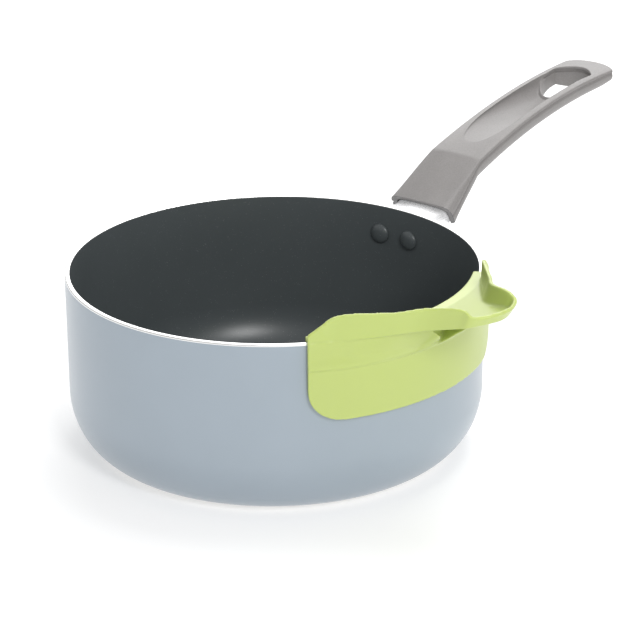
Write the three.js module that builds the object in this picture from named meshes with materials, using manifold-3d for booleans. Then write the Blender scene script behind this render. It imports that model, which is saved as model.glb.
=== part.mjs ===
// A 20 cm saucepan of pressed aluminium with a moulded side handle and a clip-on pour spout.
//
// Millimetres, +Z up. The origin is the centre of the base on the surface the pan stands on, and
// the handle points along +X. Sub-parts: pan body, base plate, two rivets, handle bracket, flame
// guard, handle, handle screw and pour spout. The pour spout lifts straight up off the rim.

import * as THREE from 'three';
import { mergeVertices } from 'three/addons/utils/BufferGeometryUtils.js';
import Module from 'manifold-3d';

const wasm = await Module();
wasm.setup();

const DEGREE = Math.PI / 180;

// ---------------------------------------------------------------- driving dimensions

const gap = 0.3; // between pieces that touch
const roundSegments = 60; // around the pan
const smallSegments = 20; // around a rivet, screw or bore
const overlap = 0.5; // how far blocks that are joined reach into one another
const overshoot = 5; // how far a cutter runs past what it cuts

const pan = {
  radius: 100, // outside of the wall
  height: 89, // rim above the table
  wall: 2.5,
  floorThickness: 4.6, // above the ring that the body would stand on
  ringHeight: 0.4, // the base plate stands proud of the body by this much
  cornerRun: 22.8, // rounding between base and wall, outside, sideways
  cornerRise: 29.9, // the same, upwards
  innerCornerRun: 20,
  innerCornerRise: 26,
  rimRound: 0.6,
};

const plate = {
  inset: 9.2, // from the edge of the base's flat to the plate
  thickness: 1.6,
  bevel: 0.5,
};

const rivet = {
  pitch: 18.4, // between the two axes, along the wall
  below: 14.7, // under the rim
  shankRadius: 2.2,
  domeRadius: 5,
  domeHeight: 2.4,
  tailRadius: 3.6,
  tailHeight: 1.8,
};

const bracket = {
  thickness: 2.2, // saddle plate
  edge: 0.6, // saddle plate beside the rivets' tails
  cornerTaper: 0.12, // share of its width that the saddle plate loses at its corners
  underGuard: 1, // free height between the guard and the arm
  topUnderGuard: 3.5, // from the guard's sheet to the saddle plate's top edge
  height: 17.4, // saddle plate
  armHalfWidth: 4.6,
  armThickness: 4.4,
  armPastKink: 7.7,
};

const guard = {
  sheet: 0.9,
  clearance: 1.3, // beside the saddle plate
  crown: 1.4, // height of the arch at its middle
  cornerRadius: 4,
  legHeight: 8.5,
  insideMouth: 15.6, // length inside the handle
};

const handle = {
  standOff: 18.4, // from the pan's wall to the mouth
  panelRun: 31.9, // from the mouth to the kink
  gripRun: 126.7, // from the kink to the end's corners
  endBulge: 4.9,
  mouthTop: -1.7, // heights of the top face, from the rim
  kinkTop: 15.3,
  endTop: 32.6,
  arch: 19.4, // how far the grip's top face bows up (four times the rise at mid-length)
  mouthWall: 3.3, // beside the guard
  kinkHalf: 15.3, // half widths
  waistHalf: 14.5,
  endHalf: 15.4,
  sideHeight: 3.8,
  mouthBelly: 5.2, // depth of the rounded underside below the sides
  belly: 11.2,
  tipBelly: 7.2,
  tipRound: 18,
  mouthSide: 10, // height of the mouth's side walls
  shell: 2.9,
  crown: 0.9,
};

const scoop = {
  pastKink: 11.7,
  edge: 3.5, // flat left beside it
  depth: 8.6,
  widenOver: 30,
};

const hangingHole = {
  edge: 4.2, // material left beside it
  behind: 8, // material left behind it, at the end's corners
  bow: 8, // how far its back wall bows
  length: 26, // from its front to the ends of the bowed back wall
};

const screw = {
  insideMouth: 22.6,
  shankRadius: 2,
  pastArm: 1.6, // how far the shank comes through the arm
  headRadius: 3.8,
  headHeight: 2.4,
  headSide: 0.96, // height of the head's straight side
  recess: 2.8,
};

const spout = {
  turn: -97.3 * DEGREE, // direction of pouring, from the handle
  sheet: 1.8,
  skirt: 2.9, // thickness of the skirt over its clearance
  halfArc: 64.5, // half length of the skirt along the wall
  skirtDrop: 37.5, // under the rim
  cornerRun: 17,
  cornerRise: 14.5,
  flap: 2, // the tongue inside the rim
  flapDrop: 12,
  endHeight: 4.5, // above the rim
  wingArc: 51.5, // from the middle to the wing's corner, along the wall
  wingHeight: 12.8,
  creaseDrop: 12, // where the flare leaves the skirt, under the rim
  notchLow: 3, // half width of the notch between the two flares, at the crease
  notchHigh: 16.3, // the same under the channel
  throatHalf: 16.1,
  throatReach: 35.6, // outside the wall
  throatHeight: 18.7,
  shoulderHalf: 31,
  shoulderReach: 11.2,
  shoulderHeight: 14.8,
  neckHalf: 21.8,
  neckReach: 20.6,
  neckHeight: 16.8,
  lipHalf: 15.4,
  lipReach: 39.8,
  lipHeight: 16.5,
  noseHalf: 11.9,
  noseReach: 42.4,
  noseHeight: 15.4,
  tipReach: 47.2,
  tipHeight: 16.6,
  floorSlope: 0.265,
  wallRun: 4.6, // how far the channel's walls lean out, at most
  lipRun: 3, // the same past the throat
  wallRunLeast: 0.4,
  endTuck: 1, // how far the skirt's ends fold in
};

// ---------------------------------------------------------------- derived values

const panInner = pan.radius - pan.wall;
const plateRadius = pan.radius - pan.cornerRun - plate.inset;

const rivetHeight = pan.height - rivet.below;
const rivetAngle = rivet.pitch / 2 / pan.radius;
const rivetHoleRadius = rivet.shankRadius + gap;

// Half widths from the rivets outwards: saddle plate, guard, handle's mouth.
const saddleHalf = rivet.pitch / 2 + rivet.tailRadius + bracket.edge;
const guardHalf = saddleHalf + guard.clearance + guard.sheet;
const mouthHalf = guardHalf + gap + handle.mouthWall;

// Distances from the pan's axis along the handle.
const saddleInner = pan.radius + gap;
const saddleOuter = saddleInner + bracket.thickness;
const mouthAt = pan.radius + handle.standOff;
const kinkAt = mouthAt + handle.panelRun;
const endAt = kinkAt + handle.gripRun;
const guardEnd = mouthAt + guard.insideMouth;
const armEnd = kinkAt + bracket.armPastKink;
const screwAt = mouthAt + screw.insideMouth;
const scoopStart = kinkAt + scoop.pastKink;
const holeBack = endAt - hangingHole.behind;
const holeShoulder = holeBack - hangingHole.bow;
const holeFront = holeShoulder - hangingHole.length;

const panelSlope = (handle.kinkTop - handle.mouthTop) / handle.panelRun;
const panelAngle = Math.atan(panelSlope);

// Depths under the handle's top face, through its shell, the guard and the bracket's arm.
const guardDepth = handle.shell + 2 * gap;
const armDepth = guardDepth + guard.sheet + bracket.underGuard + bracket.armThickness / 2;
const saddleTop = guardDepth - handle.mouthTop + guard.sheet + bracket.topUnderGuard;

// ---------------------------------------------------------------- small helpers

const mix = THREE.MathUtils.lerp;

// A closed geometry as a solid that can be cut and joined.
function toSolid(geometry) {
  const bare = geometry.clone();
  bare.deleteAttribute('normal');
  bare.deleteAttribute('uv');
  const welded = mergeVertices(bare, 1e-4);
  const corners = welded.index.array;
  const kept = [];
  for (let i = 0; i < corners.length; i += 3) {
    const [a, b, c] = [corners[i], corners[i + 1], corners[i + 2]];
    if (a !== b && b !== c && c !== a) {
      kept.push(a, b, c);
    }
  }
  return new wasm.Manifold(new wasm.Mesh({
    numProp: 3,
    vertProperties: new Float32Array(welded.attributes.position.array),
    triVerts: new Uint32Array(kept),
  }));
}

function toGeometry(solid) {
  const mesh = solid.getMesh();
  const geometry = new THREE.BufferGeometry();
  geometry.setAttribute('position', new THREE.BufferAttribute(mesh.vertProperties, 3));
  geometry.setIndex(new THREE.BufferAttribute(mesh.triVerts, 1));
  geometry.computeVertexNormals();
  return geometry;
}

// A block of cells bent to shape. place(u, v, w) gives the point for shares 0 to 1 of the three
// directions, which follow one another as a right-handed set.
function bentBlock(cellsU, cellsV, cellsW, place) {
  const geometry = new THREE.BoxGeometry(1, 1, 1, cellsU, cellsV, cellsW);
  const corner = geometry.attributes.position;
  for (let i = 0; i < corner.count; i += 1) {
    const at = place(corner.getX(i) + 0.5, corner.getY(i) + 0.5, corner.getZ(i) + 0.5);
    corner.setXYZ(i, at.x, at.y, at.z);
  }
  return toSolid(geometry);
}

// A solid of revolution about Z from its closed half outline.
function turned(points, segments) {
  const geometry = new THREE.LatheGeometry(points, segments);
  geometry.rotateX(Math.PI / 2);
  return toSolid(geometry);
}

// A point at an angle around the pan's axis.
function around(radius, angle, z) {
  return new THREE.Vector3(radius * Math.cos(angle), radius * Math.sin(angle), z);
}

function ellipseArc(centreX, centreY, radiusX, radiusY, from, to, steps) {
  const curve = new THREE.EllipseCurve(centreX, centreY, radiusX, radiusY, from, to, to < from);
  return curve.getPoints(steps);
}

function namedMesh(name, solid, color, roughness, metalness) {
  const material = new THREE.MeshStandardMaterial({ color, roughness, metalness });
  const mesh = new THREE.Mesh(toGeometry(solid), material);
  mesh.name = name;
  return mesh;
}

// ---------------------------------------------------------------- pan body and its base plate

// The cutter for both rivet holes, through the wall and the saddle.
function rivetHoles() {
  const reach = 2 * (pan.wall + bracket.thickness + overshoot);
  const holes = [];
  for (const side of [-1, 1]) {
    const bore = new THREE.CylinderGeometry(rivetHoleRadius, rivetHoleRadius, reach, smallSegments);
    bore.rotateZ(Math.PI / 2);
    bore.translate(pan.radius, 0, rivetHeight);
    bore.rotateZ(side * rivetAngle);
    holes.push(toSolid(bore));
  }
  return holes[0].add(holes[1]);
}

function panBody() {
  const low = pan.ringHeight;
  const floorTop = low + pan.floorThickness;
  const recessRadius = plateRadius + gap;
  const recessTop = plate.thickness + gap;
  const round = pan.rimRound;
  const outline = [
    new THREE.Vector2(0, recessTop),
    new THREE.Vector2(recessRadius, recessTop),
    new THREE.Vector2(recessRadius, low),
    ...ellipseArc(pan.radius - pan.cornerRun, low + pan.cornerRise, pan.cornerRun,
      pan.cornerRise, -Math.PI / 2, 0, 8),
    ...ellipseArc(pan.radius - round, pan.height - round, round, round, 0, Math.PI / 2, 2),
    ...ellipseArc(panInner + round, pan.height - round, round, round, Math.PI / 2, Math.PI, 2),
    ...ellipseArc(panInner - pan.innerCornerRun, floorTop + pan.innerCornerRise,
      pan.innerCornerRun, pan.innerCornerRise, 0, -Math.PI / 2, 7),
    new THREE.Vector2(0, floorTop),
    new THREE.Vector2(0, recessTop),
  ];
  const body = turned(outline, roundSegments).subtract(rivetHoles());
  return namedMesh('pan_body', body, 0xa4b0bc, 0.35, 0.3);
}

function basePlate() {
  const { thickness, bevel } = plate;
  const outline = [
    new THREE.Vector2(0, 0),
    new THREE.Vector2(plateRadius - bevel, 0),
    new THREE.Vector2(plateRadius, bevel),
    new THREE.Vector2(plateRadius, thickness),
    new THREE.Vector2(0, thickness),
    new THREE.Vector2(0, 0),
  ];
  return namedMesh('base_plate', turned(outline, roundSegments), 0xc9c9cb, 0.3, 1);
}

// ---------------------------------------------------------------- rivets

// Revolved about Z with the dome below, then laid along the wall's radius.
function rivetMesh(name, angle) {
  const domeSeat = panInner - gap;
  const tailSeat = saddleOuter + gap;
  const dome = ellipseArc(0, domeSeat, rivet.domeRadius, rivet.domeHeight, -Math.PI / 2, 0, 6);
  const tail = ellipseArc(0, tailSeat, rivet.tailRadius, rivet.tailHeight, 0, Math.PI / 2, 4);
  const outline = [
    ...dome,
    new THREE.Vector2(rivet.shankRadius, domeSeat),
    new THREE.Vector2(rivet.shankRadius, tailSeat),
    ...tail,
    new THREE.Vector2(0, domeSeat - rivet.domeHeight),
  ];
  const mesh = namedMesh(name, turned(outline, smallSegments), 0x3c4242, 0.4, 0.4);
  mesh.rotation.set(0, Math.PI / 2, angle, 'ZYX');
  mesh.position.set(0, 0, rivetHeight);
  return mesh;
}

// ---------------------------------------------------------------- handle bracket

// Height of the handle's top face above the rim at a distance from the pan's axis.
function topHeight(x) {
  if (x <= kinkAt) {
    return handle.mouthTop + (x - mouthAt) * panelSlope;
  }
  const share = (x - kinkAt) / handle.gripRun;
  return mix(handle.kinkTop, handle.endTop, share) + handle.arch * share * (1 - share);
}

// A point on the handle screw's axis, which crosses the arm square to its middle line; up is the
// distance from that line.
function onScrewAxis(up) {
  const middle = pan.height + topHeight(screwAt) - armDepth;
  const lean = new THREE.Vector3(-Math.sin(panelAngle), 0, Math.cos(panelAngle));
  return new THREE.Vector3(screwAt, 0, middle).addScaledVector(lean, up);
}

function screwAxisCylinder(radius, from, to) {
  const cylinder = new THREE.CylinderGeometry(radius, radius, to - from, smallSegments);
  cylinder.rotateX(Math.PI / 2);
  cylinder.rotateY(-panelAngle);
  const middle = onScrewAxis((from + to) / 2);
  cylinder.translate(middle.x, middle.y, middle.z);
  return toSolid(cylinder);
}

// The straight arm that fills the handle's slot, or the slot itself with its clearance.
function armSolid(from, to, clearance) {
  const half = bracket.armHalfWidth + clearance;
  const thick = bracket.armThickness / 2 + clearance;
  return bentBlock(1, 1, 1, (u, v, w) => {
    const x = mix(from, to + clearance, u);
    const middle = pan.height + handle.mouthTop + (x - mouthAt) * panelSlope - armDepth;
    return new THREE.Vector3(x, mix(-half, half, v), middle + mix(-thick, thick, w));
  });
}

function handleBracket() {
  const halfAngle = saddleHalf / saddleInner;
  const saddle = bentBlock(10, 4, 1, (u, v, w) => {
    const z = pan.height - saddleTop - mix(bracket.height, 0, v);
    const corner = 1 - bracket.cornerTaper * Math.abs(2 * v - 1) ** 6;
    return around(mix(saddleInner, saddleOuter, w), mix(-halfAngle, halfAngle, u) * corner, z);
  });
  const { armThickness } = bracket;
  const bore = screwAxisCylinder(screw.shankRadius + gap, -armThickness, armThickness);
  const arm = armSolid(saddleOuter - overlap, armEnd, 0).subtract(bore);
  const solid = saddle.add(arm).subtract(rivetHoles());
  return namedMesh('handle_bracket', solid, 0xb9babd, 0.35, 1);
}

// ---------------------------------------------------------------- flame guard

// Half outline of the arch from the middle of its top down to the foot of one leg, as a point
// (sideways, down) for a share 0 to 1.
function archPoint(share, half, crown, corner, leg) {
  const flat = half - corner;
  const quarter = corner * Math.PI / 2;
  const length = flat + quarter + leg - corner;
  const along = share * length;
  if (along < flat) {
    return [along, crown * (along / half) ** 2];
  }
  const drop = crown * (flat / half) ** 2;
  if (along < flat + quarter) {
    const turn = (along - flat) / corner;
    return [flat + corner * Math.sin(turn), drop + corner * (1 - Math.cos(turn))];
  }
  return [half, drop + corner + along - flat - quarter];
}

// Height of the guard's crown: level beside the pan, then parallel to the handle's front panel.
function guardHeight(x) {
  return pan.height + topHeight(Math.max(x, mouthAt)) - guardDepth;
}

function flameGuard() {
  const cellsAround = 26;
  const solid = bentBlock(4, cellsAround, 1, (u, v, w) => {
    const side = v < 0.5 ? -1 : 1;
    const thick = (1 - w) * guard.sheet;
    const [y, down] = archPoint(Math.abs(2 * v - 1), guardHalf - thick, guard.crown,
      guard.cornerRadius - thick, guard.legHeight - thick);
    const wallX = Math.sqrt((saddleInner + gap) ** 2 - y * y);
    const x = u < 0.5 ? mix(wallX, mouthAt, 2 * u) : mix(mouthAt, guardEnd, 2 * u - 1);
    return new THREE.Vector3(x, side * y, guardHeight(x) - down - thick);
  });
  return namedMesh('flame_guard', solid, 0xe4e5e7, 0.12, 1);
}

// ---------------------------------------------------------------- handle

// Half width of the handle at a distance from the pan's axis.
function halfWidth(x) {
  if (x <= kinkAt) {
    return mix(mouthHalf, handle.kinkHalf, (x - mouthAt) / handle.panelRun);
  }
  const share = (x - kinkAt) / handle.gripRun;
  const waist = mix(handle.kinkHalf, handle.endHalf, share) - handle.waistHalf;
  return mix(handle.kinkHalf, handle.endHalf, share) - waist * 4 * share * (1 - share);
}

// Depth of the belly below the sides: shallow at the mouth, full along the grip, and round at
// the tip.
function bellyDepth(x) {
  const start = THREE.MathUtils.smoothstep(x, mouthAt, kinkAt);
  const share = THREE.MathUtils.clamp((x - kinkAt) / handle.gripRun, 0, 1);
  const left = THREE.MathUtils.clamp((endAt + handle.endBulge - x) / handle.tipRound, 0, 1);
  const tip = Math.sqrt(1 - (1 - left) ** 2);
  return mix(handle.mouthBelly, mix(handle.belly, handle.tipBelly, share), start) * tip;
}

// Height of the handle's straight sides, which grows towards the mouth.
function sideHeight(x) {
  const mouthShare = THREE.MathUtils.clamp((kinkAt - x) / handle.panelRun, 0, 1);
  return mix(handle.sideHeight, handle.mouthSide, mouthShare);
}

// The handle before its hollows: flat on top, round below, its mouth square to the front panel.
function handleBlank() {
  const grip = bentBlock(28, 10, 3, (u, v, w) => {
    const across = Math.sin((2 * v - 1) * Math.PI / 2);
    const last = endAt + handle.endBulge * (1 - across * across);
    const x = mix(mouthAt, last, u);
    const top = pan.height + topHeight(Math.min(x, endAt)) - handle.crown * across ** 4;
    const belly = bellyDepth(x) * Math.sqrt(Math.max(0, 1 - across * across));
    const y = halfWidth(Math.min(x, endAt)) * across;
    return new THREE.Vector3(x, y, mix(top - sideHeight(x) - belly, top, w));
  });
  const block = 3 * mouthHalf;
  const front = new THREE.BoxGeometry(block, block, block);
  front.translate(-block / 2, 0, 0);
  front.rotateY(-panelAngle);
  front.translate(mouthAt, 0, pan.height + handle.mouthTop);
  return grip.subtract(toSolid(front));
}

// The space inside the mouth, open below, that takes the flame guard.
function mouthCavity() {
  const arched = 0.5; // share of the guard's arch that the roof follows
  const rounded = 0.6; // share of the guard's corner radius that the shoulders drop by
  const half = guardHalf + gap;
  return bentBlock(4, 8, 1, (u, v, w) => {
    const x = mix(mouthAt - overshoot, guardEnd + 1, u);
    const across = 2 * v - 1;
    const roof = topHeight(x) - handle.shell - guard.crown * arched * across ** 2
      - guard.cornerRadius * rounded * across ** 10;
    return new THREE.Vector3(x, half * across, pan.height + mix(-3 * mouthHalf, roof, w));
  });
}

// The hollow that deepens along the top face into the hanging hole. It runs on a little past the
// hole's front, at the depth that it has there.
function scoopCutter() {
  const least = 0.3; // half width and depth at its start
  return bentBlock(14, 12, 1, (u, v, w) => {
    const x = mix(scoopStart, holeShoulder - overshoot, u);
    const across = Math.sin((2 * v - 1) * Math.PI / 2);
    const widened = Math.min(1, (x - scoopStart) / scoop.widenOver);
    const half = mix(least, handle.waistHalf - scoop.edge, Math.sqrt(1 - (1 - widened) ** 2));
    const top = pan.height + topHeight(x);
    const share = Math.min(1, (x - scoopStart) / (holeFront - scoopStart));
    const low = top - mix(least, scoop.depth, share) * Math.sqrt(Math.max(0, 1 - across * across));
    return new THREE.Vector3(x, half * across, mix(low, top + 2 * overshoot, w));
  });
}

function hangingHoleCutter() {
  const half = handle.endHalf - hangingHole.edge;
  const shape = new THREE.Shape();
  shape.moveTo(holeShoulder, -half);
  shape.quadraticCurveTo(holeBack + hangingHole.bow, 0, holeShoulder, half);
  shape.absellipse(holeShoulder, 0, hangingHole.length, half, Math.PI / 2, 3 * Math.PI / 2, false, 0);
  const geometry = new THREE.ExtrudeGeometry(shape, {
    depth: handle.endTop + handle.arch,
    bevelEnabled: false,
    curveSegments: 10,
  });
  geometry.translate(0, 0, pan.height);
  return toSolid(geometry);
}

// Where the screw's head seats, as a distance up its axis from the arm's middle line.
function screwSeat() {
  const below = sideHeight(screwAt) + bellyDepth(screwAt) - armDepth;
  return screw.recess - below * Math.cos(panelAngle);
}

function screwPassage() {
  const seat = screwSeat();
  const deepest = seat - screw.recess - 2 * overshoot;
  return screwAxisCylinder(screw.shankRadius + gap, deepest, bracket.armThickness)
    .add(screwAxisCylinder(screw.headRadius + gap, deepest, seat));
}

function handleGrip() {
  const solid = handleBlank()
    .subtract(mouthCavity())
    .subtract(armSolid(mouthAt - overshoot, armEnd, gap))
    .subtract(screwPassage())
    .subtract(scoopCutter())
    .subtract(hangingHoleCutter());
  return namedMesh('handle', solid, 0xaeaaa8, 0.6, 0.1);
}

function handleScrew() {
  const { shankRadius, headRadius, headHeight, headSide } = screw;
  const shankLength = bracket.armThickness / 2 + screw.pastArm - screwSeat();
  const dome = headHeight - headSide;
  const outline = [
    new THREE.Vector2(0, -headHeight),
    ...ellipseArc(0, -headSide, headRadius, dome, -Math.PI / 3, 0, 3),
    new THREE.Vector2(headRadius, -gap),
    new THREE.Vector2(shankRadius, -gap),
    new THREE.Vector2(shankRadius, shankLength),
    new THREE.Vector2(0, shankLength),
    new THREE.Vector2(0, -headHeight),
  ];
  const mesh = namedMesh('handle_screw', turned(outline, smallSegments), 0xa9aaac, 0.35, 1);
  mesh.rotation.y = -panelAngle;
  mesh.position.copy(onScrewAxis(screwSeat()));
  return mesh;
}

// ---------------------------------------------------------------- pour spout

// The spout is built about its own middle plane: x points the way it pours, heights are from the
// rim.
const spoutInner = pan.radius + gap;
const spoutOuter = spoutInner + spout.skirt;
const flapOuter = panInner - gap;
const flapInner = flapOuter - spout.flap;
const spoutEnd = spout.halfArc / spoutOuter;

// The upper edge from one end of the skirt, along the wing, round the lip and back.
function upperEdge() {
  const wing = spout.wingArc / spoutOuter;
  const half = [
    around(spoutOuter - spout.endTuck, spoutEnd, spout.endHeight),
    around(spoutOuter - spout.endTuck / 2, mix(wing, spoutEnd, 0.5),
      mix(spout.wingHeight, spout.endHeight, 0.45)),
    around(spoutOuter, wing, spout.wingHeight),
    new THREE.Vector3(pan.radius + spout.shoulderReach, spout.shoulderHalf, spout.shoulderHeight),
    new THREE.Vector3(pan.radius + spout.neckReach, spout.neckHalf, spout.neckHeight),
    new THREE.Vector3(pan.radius + spout.throatReach, spout.throatHalf, spout.throatHeight),
    new THREE.Vector3(pan.radius + spout.lipReach, spout.lipHalf, spout.lipHeight),
    new THREE.Vector3(pan.radius + spout.noseReach, spout.noseHalf, spout.noseHeight),
  ];
  const tip = new THREE.Vector3(pan.radius + spout.tipReach, 0, spout.tipHeight);
  const mirrored = half.map((point) => new THREE.Vector3(point.x, -point.y, point.z));
  const points = [...mirrored, tip, ...half.reverse()];
  return new THREE.CatmullRomCurve3(points, false, 'centripetal');
}

// Height of the channel's underside: level over the rim, then rising outwards.
function spoutFloor(radius) {
  return gap + spout.floorSlope * Math.max(0, radius - spoutInner - overlap);
}

// How far inside the upper edge the channel's wall stands on its floor, so that the wall carries
// on the line of the flare below it.
function wallRun(edgePoint) {
  const reach = Math.hypot(edgePoint.x, edgePoint.y);
  const foot = spoutFloor(reach);
  const climb = (foot + spout.creaseDrop) / (edgePoint.z + spout.creaseDrop);
  const pastNeck = THREE.MathUtils.smoothstep(reach, pan.radius + spout.neckReach,
    pan.radius + spout.throatReach);
  const most = mix(spout.wallRun, spout.lipRun, pastNeck);
  return THREE.MathUtils.clamp((1 - climb) * (reach - spoutOuter), spout.wallRunLeast, most);
}

// The channel's under and outer surface: v runs from the inner edge of the rim out to the upper
// edge.
function channelPoint(edge, u, v) {
  const rim = edge.getPointAt(THREE.MathUtils.clamp(u, 0, 1));
  const start = around(flapInner, mix(-spoutEnd, spoutEnd, u), 0);
  const out = new THREE.Vector3(rim.x - start.x, rim.y - start.y, 0);
  const foot = 1 - wallRun(rim) / out.length();
  const bend = 0.7; // share of the cells that the floor takes
  const share = v < bend ? foot * v / bend : mix(foot, 1, (v - bend) / (1 - bend));
  const at = start.clone().addScaledVector(out, share);
  const floor = spoutFloor(Math.hypot(at.x, at.y));
  const rise = v < bend ? 0 : (v - bend) / (1 - bend);
  at.z = mix(floor, rim.z, rise);
  return at;
}

function channelSheet(edge) {
  const step = 0.01; // for the directions along the surface
  return bentBlock(44, 10, 1, (u, v, w) => {
    const at = channelPoint(edge, u, v);
    const alongU = channelPoint(edge, Math.min(u + step, 1), v)
      .sub(channelPoint(edge, Math.max(u - step, 0), v));
    const alongV = channelPoint(edge, u, Math.min(v + step, 1))
      .sub(channelPoint(edge, u, Math.max(v - step, 0)));
    const below = alongU.cross(alongV).normalize();
    return at.addScaledVector(below, spout.sheet * (w - 1));
  });
}

// The skirt outside the wall, with large round lower corners.
function skirtSheet() {
  const runAngle = spout.cornerRun / spoutOuter;
  return bentBlock(30, 5, 1, (u, v, w) => {
    const crowded = Math.sin((2 * u - 1) * Math.PI / 2); // cells closer together at the ends
    const angle = spoutEnd * mix(2 * u - 1, crowded, 0.6);
    const into = Math.max(0, 1 - (spoutEnd - Math.abs(angle)) / runAngle);
    const low = -spout.skirtDrop + spout.cornerRise * (1 - Math.sqrt(1 - into * into));
    return around(mix(spoutInner, spoutOuter, w), angle, mix(low, gap + overlap, v));
  });
}

// The tongue inside the rim.
function flapSheet() {
  return bentBlock(24, 1, 1, (u, v, w) => {
    const angle = mix(-spoutEnd, spoutEnd, u);
    return around(mix(flapInner, flapOuter, w), angle,
      mix(-spout.flapDrop, gap + overlap, v));
  });
}

// The upper edge's point at an angle from the middle plane.
function edgeAt(samples, angle) {
  const offTurn = (point) => Math.abs(Math.atan2(point.y, point.x) - angle);
  return samples.reduce((best, point) => (offTurn(point) < offTurn(best) ? point : best));
}

// The flare that carries the channel's wall down to the skirt's crease, on one side. The two
// flares leave a notch between them that widens upwards.
function flareWeb(edge, side) {
  const samples = edge.getSpacedPoints(300);
  const inner = spoutInner + overlap;
  const far = spout.wingArc / spoutOuter;
  return bentBlock(12, 5, 1, (u, v, w) => {
    const near = mix(spout.notchLow, spout.notchHigh, v) / spoutOuter;
    const angle = side * mix(near, far, side > 0 ? u : 1 - u);
    const rim = edgeAt(samples, angle);
    const reach = Math.hypot(rim.x, rim.y);
    const foot = Math.max(inner, reach - wallRun(rim) - overlap);
    const top = spoutFloor(mix(inner, foot, w)) + overlap;
    const z = mix(-spout.creaseDrop, top, v);
    const climb = (z + spout.creaseDrop) / (rim.z + spout.creaseDrop);
    const outer = mix(spoutOuter - overlap / 2, Math.max(spoutOuter, reach - overlap), climb);
    return around(mix(inner, outer, w), angle, z);
  });
}

// The groove that the rim sits in.
function rimGroove() {
  const low = -spout.skirtDrop - overshoot;
  const outline = [
    new THREE.Vector2(flapOuter, low),
    new THREE.Vector2(spoutInner, low),
    new THREE.Vector2(spoutInner, gap),
    new THREE.Vector2(flapOuter, gap),
    new THREE.Vector2(flapOuter, low),
  ];
  return turned(outline, roundSegments);
}

function pourSpout() {
  const edge = upperEdge();
  const solid = skirtSheet()
    .add(channelSheet(edge))
    .add(flapSheet())
    .add(flareWeb(edge, 1))
    .add(flareWeb(edge, -1))
    .subtract(rimGroove());
  const mesh = namedMesh('pour_spout', solid, 0xc0d070, 0.45, 0);
  mesh.rotation.z = spout.turn;
  mesh.position.z = pan.height;
  return mesh;
}

// ---------------------------------------------------------------- assembly

const saucepan = new THREE.Group();
saucepan.add(
  panBody(),
  basePlate(),
  rivetMesh('rivet_left', rivetAngle),
  rivetMesh('rivet_right', -rivetAngle),
  handleBracket(),
  flameGuard(),
  handleGrip(),
  handleScrew(),
  pourSpout(),
);

export default saucepan;
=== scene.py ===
"""A coated saucepan with a moulded handle and a clip-on pour spout, on a pale studio floor.

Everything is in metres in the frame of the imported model: +Z up, the handle along +X, the origin in
the middle of the base on the surface that the pan stands on.
"""

import bisect
import logging
import math
from collections.abc import Callable, Iterable
from dataclasses import dataclass, field
from enum import Enum

import bmesh
import bpy
from mathutils import Matrix, Vector


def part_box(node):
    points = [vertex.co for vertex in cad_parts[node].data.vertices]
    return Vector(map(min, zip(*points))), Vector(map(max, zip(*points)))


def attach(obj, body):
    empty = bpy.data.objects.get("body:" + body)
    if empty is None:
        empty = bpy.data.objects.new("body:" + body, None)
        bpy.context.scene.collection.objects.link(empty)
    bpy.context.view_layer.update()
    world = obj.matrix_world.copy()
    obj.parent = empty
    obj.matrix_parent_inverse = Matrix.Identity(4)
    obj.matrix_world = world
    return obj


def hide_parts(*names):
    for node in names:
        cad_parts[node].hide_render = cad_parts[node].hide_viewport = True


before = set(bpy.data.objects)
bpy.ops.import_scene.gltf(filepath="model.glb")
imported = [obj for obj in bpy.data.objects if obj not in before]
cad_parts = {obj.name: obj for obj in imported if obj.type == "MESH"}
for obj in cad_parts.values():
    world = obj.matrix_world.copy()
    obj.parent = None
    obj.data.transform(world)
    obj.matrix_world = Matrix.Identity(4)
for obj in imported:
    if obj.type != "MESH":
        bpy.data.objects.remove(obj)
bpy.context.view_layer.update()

PAN_RADIUS, _, PAN_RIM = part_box("pan_body")[1]

MM = 0.001
CLEARANCE = 0.3 * MM
SHARP_ANGLE = math.radians(38)
EPSILON = 1e-7

log = logging.getLogger("saucepan")


# ---------------- numbers


def mix(a: float, b: float, share: float) -> float:
    """Return the number that lies the given share of the way from a to b."""
    return a + (b - a) * share


def clamp(value: float, low: float = 0.0, high: float = 1.0) -> float:
    """Return the value, kept between two limits."""
    return max(low, min(high, value))


def smooth_step(value: float, low: float, high: float) -> float:
    """Return 0 below low, 1 above high and a smooth rise between them."""
    share = clamp((value - low) / (high - low))
    return share * share * (3 - 2 * share)


def around(radius: float, angle: float, height: float) -> Vector:
    """Return the point at an angle around the Z axis."""
    return Vector((radius * math.cos(angle), radius * math.sin(angle), height))


def quarter(centre: tuple[float, float], radii: tuple[float, float], start: float,
            end: float, steps: int) -> list[tuple[float, float]]:
    """Return the points of an elliptical arc.

    Args:
        centre: The middle of the ellipse.
        radii: Its half sizes along the two axes.
        start: The first angle, in degrees.
        end: The last angle, in degrees.
        steps: How many chords the arc is cut into.

    Returns:
        The points from start to end, both included.
    """
    points = []
    for i in range(steps + 1):
        angle = math.radians(mix(start, end, i / steps))
        points.append((centre[0] + radii[0] * math.cos(angle),
                       centre[1] + radii[1] * math.sin(angle)))
    return points


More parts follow.
